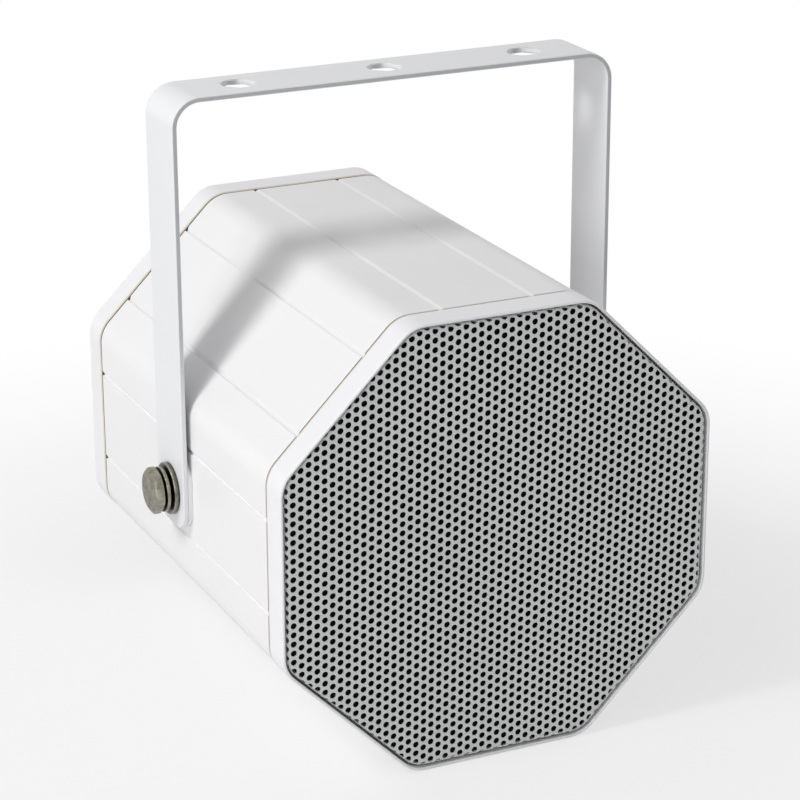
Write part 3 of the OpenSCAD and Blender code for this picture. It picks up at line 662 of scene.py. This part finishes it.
def sheet_piece(end):
    """Perforated sheet with its edge bent back, holes cut through the bend as they fall."""
    flat_half = SHEET_HALF - SHEET_BEND
    flat_r = CORNER_R + RING_HALF - HALF - RING_WALL - SHEET_GAP - SHEET_BEND
    arc = SHEET_BEND * PI / 2
    skirt = SHEET_FRONT - (RING_START + BAFFLE_T + FLANGE_T) - SHEET_BEND - SHEET_LIFT
    points, edges = [], []

    def add_loop(loop):
        edges.extend(round_trip(len(points), len(loop)))
        points.extend(loop)

    bend_steps = 5
    for d in [arc * i / bend_steps for i in range(bend_steps + 1)] + [arc + skirt]:
        add_loop(octagon(flat_half + d, flat_r + d, 8))
    holes = hole_places(flat_half + arc + skirt * 0.6)
    for x, z in holes:
        add_loop(circle(HOLE_R, HOLE_SIDES, x, z, PI / HOLE_SIDES))
    co, _, tris, _, _, _ = delaunay_2d_cdt([Vector(p) for p in points], edges, [], 0, 1e-6)

    corner_reach = (flat_half - flat_r) / math.cos(PI / 8)
    half_side = corner_reach * math.sin(PI / 8)
    turn = -SIGN[end]

    def bend_back(x, z):
        """Place on the bent sheet of a point on the flat one."""
        k = round(math.atan2(z, x) / EIGHTH)
        n = (math.cos(EIGHTH * k), math.sin(EIGHTH * k))
        along = -x * n[1] + z * n[0]
        if abs(along) <= half_side:
            d = x * n[0] + z * n[1] - flat_half
            out = n
        else:
            mid = EIGHTH * k + math.copysign(PI / 8, along)
            cx, cz = corner_reach * math.cos(mid), corner_reach * math.sin(mid)
            dist = math.hypot(x - cx, z - cz)
            d = dist - flat_r
            out = ((x - cx) / dist, (z - cz) / dist) if dist > 1e-9 else n
        if d <= 0:
            return x * turn, SIGN[end] * SHEET_FRONT, PIVOT + z
        if d < arc:
            grow = SHEET_BEND * math.sin(d / SHEET_BEND)
            back = SHEET_BEND * (1 - math.cos(d / SHEET_BEND))
        else:
            grow, back = SHEET_BEND, SHEET_BEND + d - arc
        return ((x - out[0] * d + out[0] * grow) * turn, SIGN[end] * (SHEET_FRONT - back),
                PIVOT + (z - out[1] * d) + out[1] * grow)

    verts = [bend_back(p.x, p.y) for p in co]
    obj = new_object(end + "_sheet", verts, outside_holes(co, tris, holes), 0)
    mesh = obj.data
    flat = [poly for poly in mesh.polygons if abs(poly.normal.y) > 0.99][0]
    if flat.normal.y * SIGN[end] < 0:
        mesh.flip_normals()
    mod = obj.modifiers.new("thickness", "SOLIDIFY")
    mod.thickness = SHEET_THICK * MM
    mod.offset = -1
    mod.use_even_offset = False
    bpy.context.view_layer.objects.active = obj
    with bpy.context.temp_override(object=obj, active_object=obj, selected_objects=[obj]):
        bpy.ops.object.modifier_apply(modifier=mod.name)
    shade(mesh, 40)
    finish_piece(obj, "grille_sheet", end + "_grille")


# ------------------------------------------------------------------ bracket
def leg_end_points(half, steps=8):
    """Rounded end of a leg as (distance past the pivot, across), from +half to -half."""
    side = half - LEG_CORNER
    past = LEG_END - LEG_CORNER
    pts = []
    for sign in (1, -1):
        for a in quarter(steps)[::sign]:
            pts.append((past + LEG_CORNER * math.sin(a),
                        sign * (side + LEG_CORNER * math.cos(a))))
    return pts


def strap_piece():
    """Bent flat bar: straight legs with rounded ends, two bends, a top with three holes."""
    out_r = BEND_R + STRAP_T
    half = STRAP_W / 2
    leg = STRAP_TOP - out_r
    arc = out_r * PI / 2
    span = 2 * (STRAP_OUT - out_r)
    total = 2 * leg + 2 * arc + span

    def place(u):
        """Point on the outer surface and its outward normal, in the XZ plane."""
        if u < leg:
            return (-STRAP_OUT, u), (-1, 0)
        u -= leg
        if u < arc:
            a = u / out_r
            n = (-math.cos(a), math.sin(a))
            return (-STRAP_OUT + out_r + n[0] * out_r, leg + n[1] * out_r), n
        u -= arc
        if u < span:
            return (-STRAP_OUT + out_r + u, STRAP_TOP), (0, 1)
        u -= span
        if u < arc:
            a = u / out_r
            n = (math.sin(a), math.cos(a))
            return (STRAP_OUT - out_r + n[0] * out_r, leg + n[1] * out_r), n
        u -= arc
        return (STRAP_OUT, leg - u), (1, 0)

    def warp(u, v, depth):
        p, n = place(u)
        return (p[0] - n[0] * depth, v, PIVOT + p[1] - n[1] * depth)

    cross = [leg + arc * i / BEND_STEPS for i in range(BEND_STEPS + 1)]
    cross += [leg + arc + span + arc * i / BEND_STEPS for i in range(BEND_STEPS + 1)]
    legs = [leg * f for f in (0.12, 0.3, 0.5, 0.7, 0.88)]
    cross = sorted(legs + cross + [total - u for u in legs])
    end = leg_end_points(half)
    outer = [(-u, v) for u, v in end]
    outer += [(u, -half) for u in cross]
    outer += [(total + u, -v) for u, v in end]
    outer += [(u, half) for u in reversed(cross)]
    n, m = len(end), len(cross)
    lines = [(n + i, n + m + n + (m - 1 - i)) for i in range(m)]
    holes = [circle(BOLT_HOLE_R, 40), circle(BOLT_HOLE_R, 40, total)]
    holes += [circle(MOUNT_R, 48, total / 2 + i * MOUNT_PITCH) for i in (-1, 0, 1)]
    mesh = plate(outer, holes, STRAP_T, STRAP_EDGE, lines, warp, 4)
    finish_piece(new_object("bracket_strap", *mesh, 40), "painted_bracket", "bracket",
                 "bracket_arm")


# ----------------------------------------------------------- pivot hardware
def pad(side):
    """Pad between body and leg, with the leg end's outline at both its ends."""
    low, high = x_span(side + "_spacer")
    end = leg_end_points(STRAP_W / 2 - 0.01)
    outer = [(v, -u) for u, v in end] + [(-v, u) for u, v in end]

    def warp(u, v, depth):
        return (SIGN[side] * (high - depth), u, PIVOT + v)

    mesh = plate(outer[::-1], [circle(BOLT_HOLE_R, 32)], high - low, 0.2, [], warp, 2)
    finish_piece(new_object(side + "_pad", *mesh, 40), "white_nylon", side + "_spacer")


def flat_washer(side):
    """Washer with rounded outer edges."""
    low, high = x_span(side + "_washer")
    edge = 0.4
    turns = quarter(4)
    profile = [(low, WASHER_IN), (low, WASHER_OUT - edge)]
    profile += [(low + edge * (1 - math.cos(a)), WASHER_OUT - edge + edge * math.sin(a))
                for a in turns[1:]]
    profile += [(high - edge + edge * math.sin(a), WASHER_OUT - edge + edge * math.cos(a))
                for a in turns]
    profile += [(high, WASHER_IN + 0.15), (high - 0.15, WASHER_IN)]
    loops = [[(SIGN[side] * d, y, PIVOT + z) for y, z in circle(r, 72)] for d, r in profile]
    finish_piece(new_object(side + "_flat_washer", *loft(loops), 35), "stainless",
                 side + "_washer")


def split_washer(side):
    """Spring washer: a flat wire wound once, its far end just off the washer behind."""
    low, high = x_span(side + "_spring_washer")
    edge = 0.25
    near = high - SPLIT_WIRE
    section = []
    for cx, cy, a0 in ((high - edge, SPLIT_OUT - edge, 0), (near + edge, SPLIT_OUT - edge, 90),
                       (near + edge, SPLIT_IN + edge, 180), (high - edge, SPLIT_IN + edge, 270)):
        section += arc_points(cx, cy, edge, a0, a0 + 90, 3)
    steps = 90
    loops = []
    for i in range(steps + 1):
        f = i / steps
        slope = min(1.0, max(0.0, (f - 0.7) / 0.3))
        drop = (near - low) * slope * slope * (3 - 2 * slope)
        loop = []
        for d, r in section:
            lean = SPLIT_SLANT * (d - near) / SPLIT_WIRE
            a = SPLIT_AT + SPLIT_GAP / 2 + lean + (2 * PI - SPLIT_GAP) * f
            loop.append((SIGN[side] * (d - drop), r * math.cos(a), PIVOT + r * math.sin(a)))
        loops.append(loop)
    mesh = loft(loops, closed=False, caps=True)
    finish_piece(new_object(side + "_split_washer", *mesh, 45), "stainless",
                 side + "_spring_washer")


def hex_bolt(side):
    """Bolt with a chamfered hexagon head, its shank plain and its head's face dished."""
    tip, face = x_span(side + "_bolt")
    start = x_span(side + "_spring_washer")[1]
    height = face - start
    half = BOLT_FLATS / 2
    corner = half / math.cos(PI / 6) - 0.2
    slope = math.tan(math.radians(30))
    steps = 96
    rays = []
    for i in range(steps):
        a = 2 * PI * i / steps
        rho = min(half / math.cos((a - BOLT_TURN) % (PI / 3) - PI / 6), corner)
        past = max(0.0, rho - BOLT_FACE_R)
        top = start + height - past * slope
        profile = [(tip, BOLT_R - 1), (tip + 1, BOLT_R), (start, BOLT_R),
                   (start + 0.02, half * 0.86), (start + 0.7, half * 0.88),
                   (start + 0.75 + past * 0.3, rho), (top - 0.12, rho),
                   (top - 0.03, rho - 0.08), (start + height - 0.06, BOLT_FACE_R - 0.02),
                   (start + height, BOLT_FACE_R - 0.35),
                   (start + height - 0.05, BOLT_FACE_R - 1.4), (start + height - 0.14, 1.2)]
        rays.append([(SIGN[side] * d, r * math.cos(a), PIVOT + r * math.sin(a))
                     for d, r in profile])
    mesh = loft([list(loop) for loop in zip(*rays)], closed=False, caps=True)
    finish_piece(new_object(side + "_hex_bolt", *mesh, 28), "stainless", side + "_bolt")


body_skin()
for end in ("front", "rear"):
    ring_piece(end)
    gasket_piece(end)
    sheet_piece(end)
strap_piece()
for side in ("left", "right"):
    pad(side)
    flat_washer(side)
    split_washer(side)
    hex_bolt(side)

# ------------------------------------------------------------------- camera
# Fitted to the octagon's edges in the photo, as axes of the view and a place in metres.
RIGHT = Vector((0.903996, -0.427532, -0.002767))
DOWN = Vector((-0.149336, -0.309685, -0.939039))
AHEAD = Vector((0.400612, 0.849301, -0.343800))
PLACE = (-0.4270, -0.9234, 0.3936 + PIVOT * MM)

cam_data = bpy.data.cameras.new("camera")
cam_data.lens = 125.63
cam_data.sensor_width = 36.0
cam_data.shift_x = -0.00725
cam_data.shift_y = -0.00087
cam_data.clip_start = 0.05
camera = bpy.data.objects.new("camera", cam_data)
scene.collection.objects.link(camera)
axes = Matrix((RIGHT, -DOWN, -AHEAD)).transposed()
camera.matrix_world = Matrix.Translation(PLACE) @ axes.to_4x4()
scene.camera = camera

# ------------------------------------------------------------------- lights
# Name: place in metres, diameter of the disk in metres, power in watts.
LAMPS = {
    "key": ((-1.09, -0.16, 1.25), 0.45, 10.0),
    "fill": ((-2.0, -0.75, 0.5), 1.3, 11.0),
    "front": ((0.6, -1.9, 0.7), 1.6, 1.0),
    "side": ((2.1, 0.9, 0.6), 1.4, 6.0),
}
TARGET = Vector((0, 0, PIVOT * MM))
WHITE = (1, 1, 1, 1)

for name, (place, size, power) in LAMPS.items():
    lamp_data = bpy.data.lights.new(name, "AREA")
    lamp_data.shape = "DISK"
    lamp_data.size = size
    lamp_data.energy = power
    lamp = bpy.data.objects.new(name, lamp_data)
    lamp.location = place
    lamp.rotation_euler = (TARGET - Vector(place)).to_track_quat("-Z", "Y").to_euler()
    scene.collection.objects.link(lamp)


def studio_world():
    """Soft even light, seen as white by the camera and in reflections."""
    world = bpy.data.worlds.new("studio")
    scene.world = world
    world.use_nodes = True
    tree = world.node_tree
    tree.nodes.clear()
    out = tree.nodes.new("ShaderNodeOutputWorld")
    soft = node(tree, "ShaderNodeBackground", Strength=0.4)
    seen = node(tree, "ShaderNodeBackground", Strength=1.0)
    for background in (soft, seen):
        background.inputs[0].default_value = WHITE
    path = tree.nodes.new("ShaderNodeLightPath").outputs
    direct = combine(tree, "MAXIMUM", path["Is Camera Ray"], path["Is Glossy Ray"])
    direct = combine(tree, "MAXIMUM", direct, path["Is Transmission Ray"])
    mix_shaders(tree, direct, soft.outputs[0], seen.outputs[0], out)


def paper_floor():
    """Pale disk that fades to white away from the object and keeps its shadow."""
    radius, sides = 3.0, 64
    verts = [(0.0, 0.0, 0.0)] + [(x, y, 0.0) for x, y in circle(radius, sides)]
    mesh = bpy.data.meshes.new("floor")
    mesh.from_pydata(verts, [], [(0, 1 + i, 1 + (i + 1) % sides) for i in range(sides)])
    floor = bpy.data.objects.new("floor", mesh)
    scene.collection.objects.link(floor)
    floor.location.z = -0.0002
    mat, tree, bsdf, vec = material("floor_paper")
    bsdf.inputs["Roughness"].default_value = 0.9
    bsdf.inputs["Specular IOR Level"].default_value = 0.1
    tone = ramp(tree, noise(tree, vec, 6.0, 2.0),
                [(0.3, (0.88, 0.88, 0.88)), (0.7, (0.90, 0.90, 0.90))])
    tree.links.new(tone, bsdf.inputs["Base Color"])
    glow = node(tree, "ShaderNodeEmission", Strength=1.0)
    glow.inputs[0].default_value = WHITE
    length = node(tree, "ShaderNodeVectorMath", operation="LENGTH")
    tree.links.new(vec, length.inputs[0])
    fade = spread(tree, length.outputs["Value"], 0.6, 1.0, 0.12, 0.45, "SMOOTHSTEP")
    path = tree.nodes.new("ShaderNodeLightPath").outputs
    share = combine(tree, "MULTIPLY", fade, path["Is Camera Ray"])
    mix_shaders(tree, share, bsdf.outputs[0], glow.outputs[0],
                shader_of(mat, "OUTPUT_MATERIAL"))
    mesh.materials.append(mat)


studio_world()
paper_floor()

scene.view_settings.view_transform = "Standard"
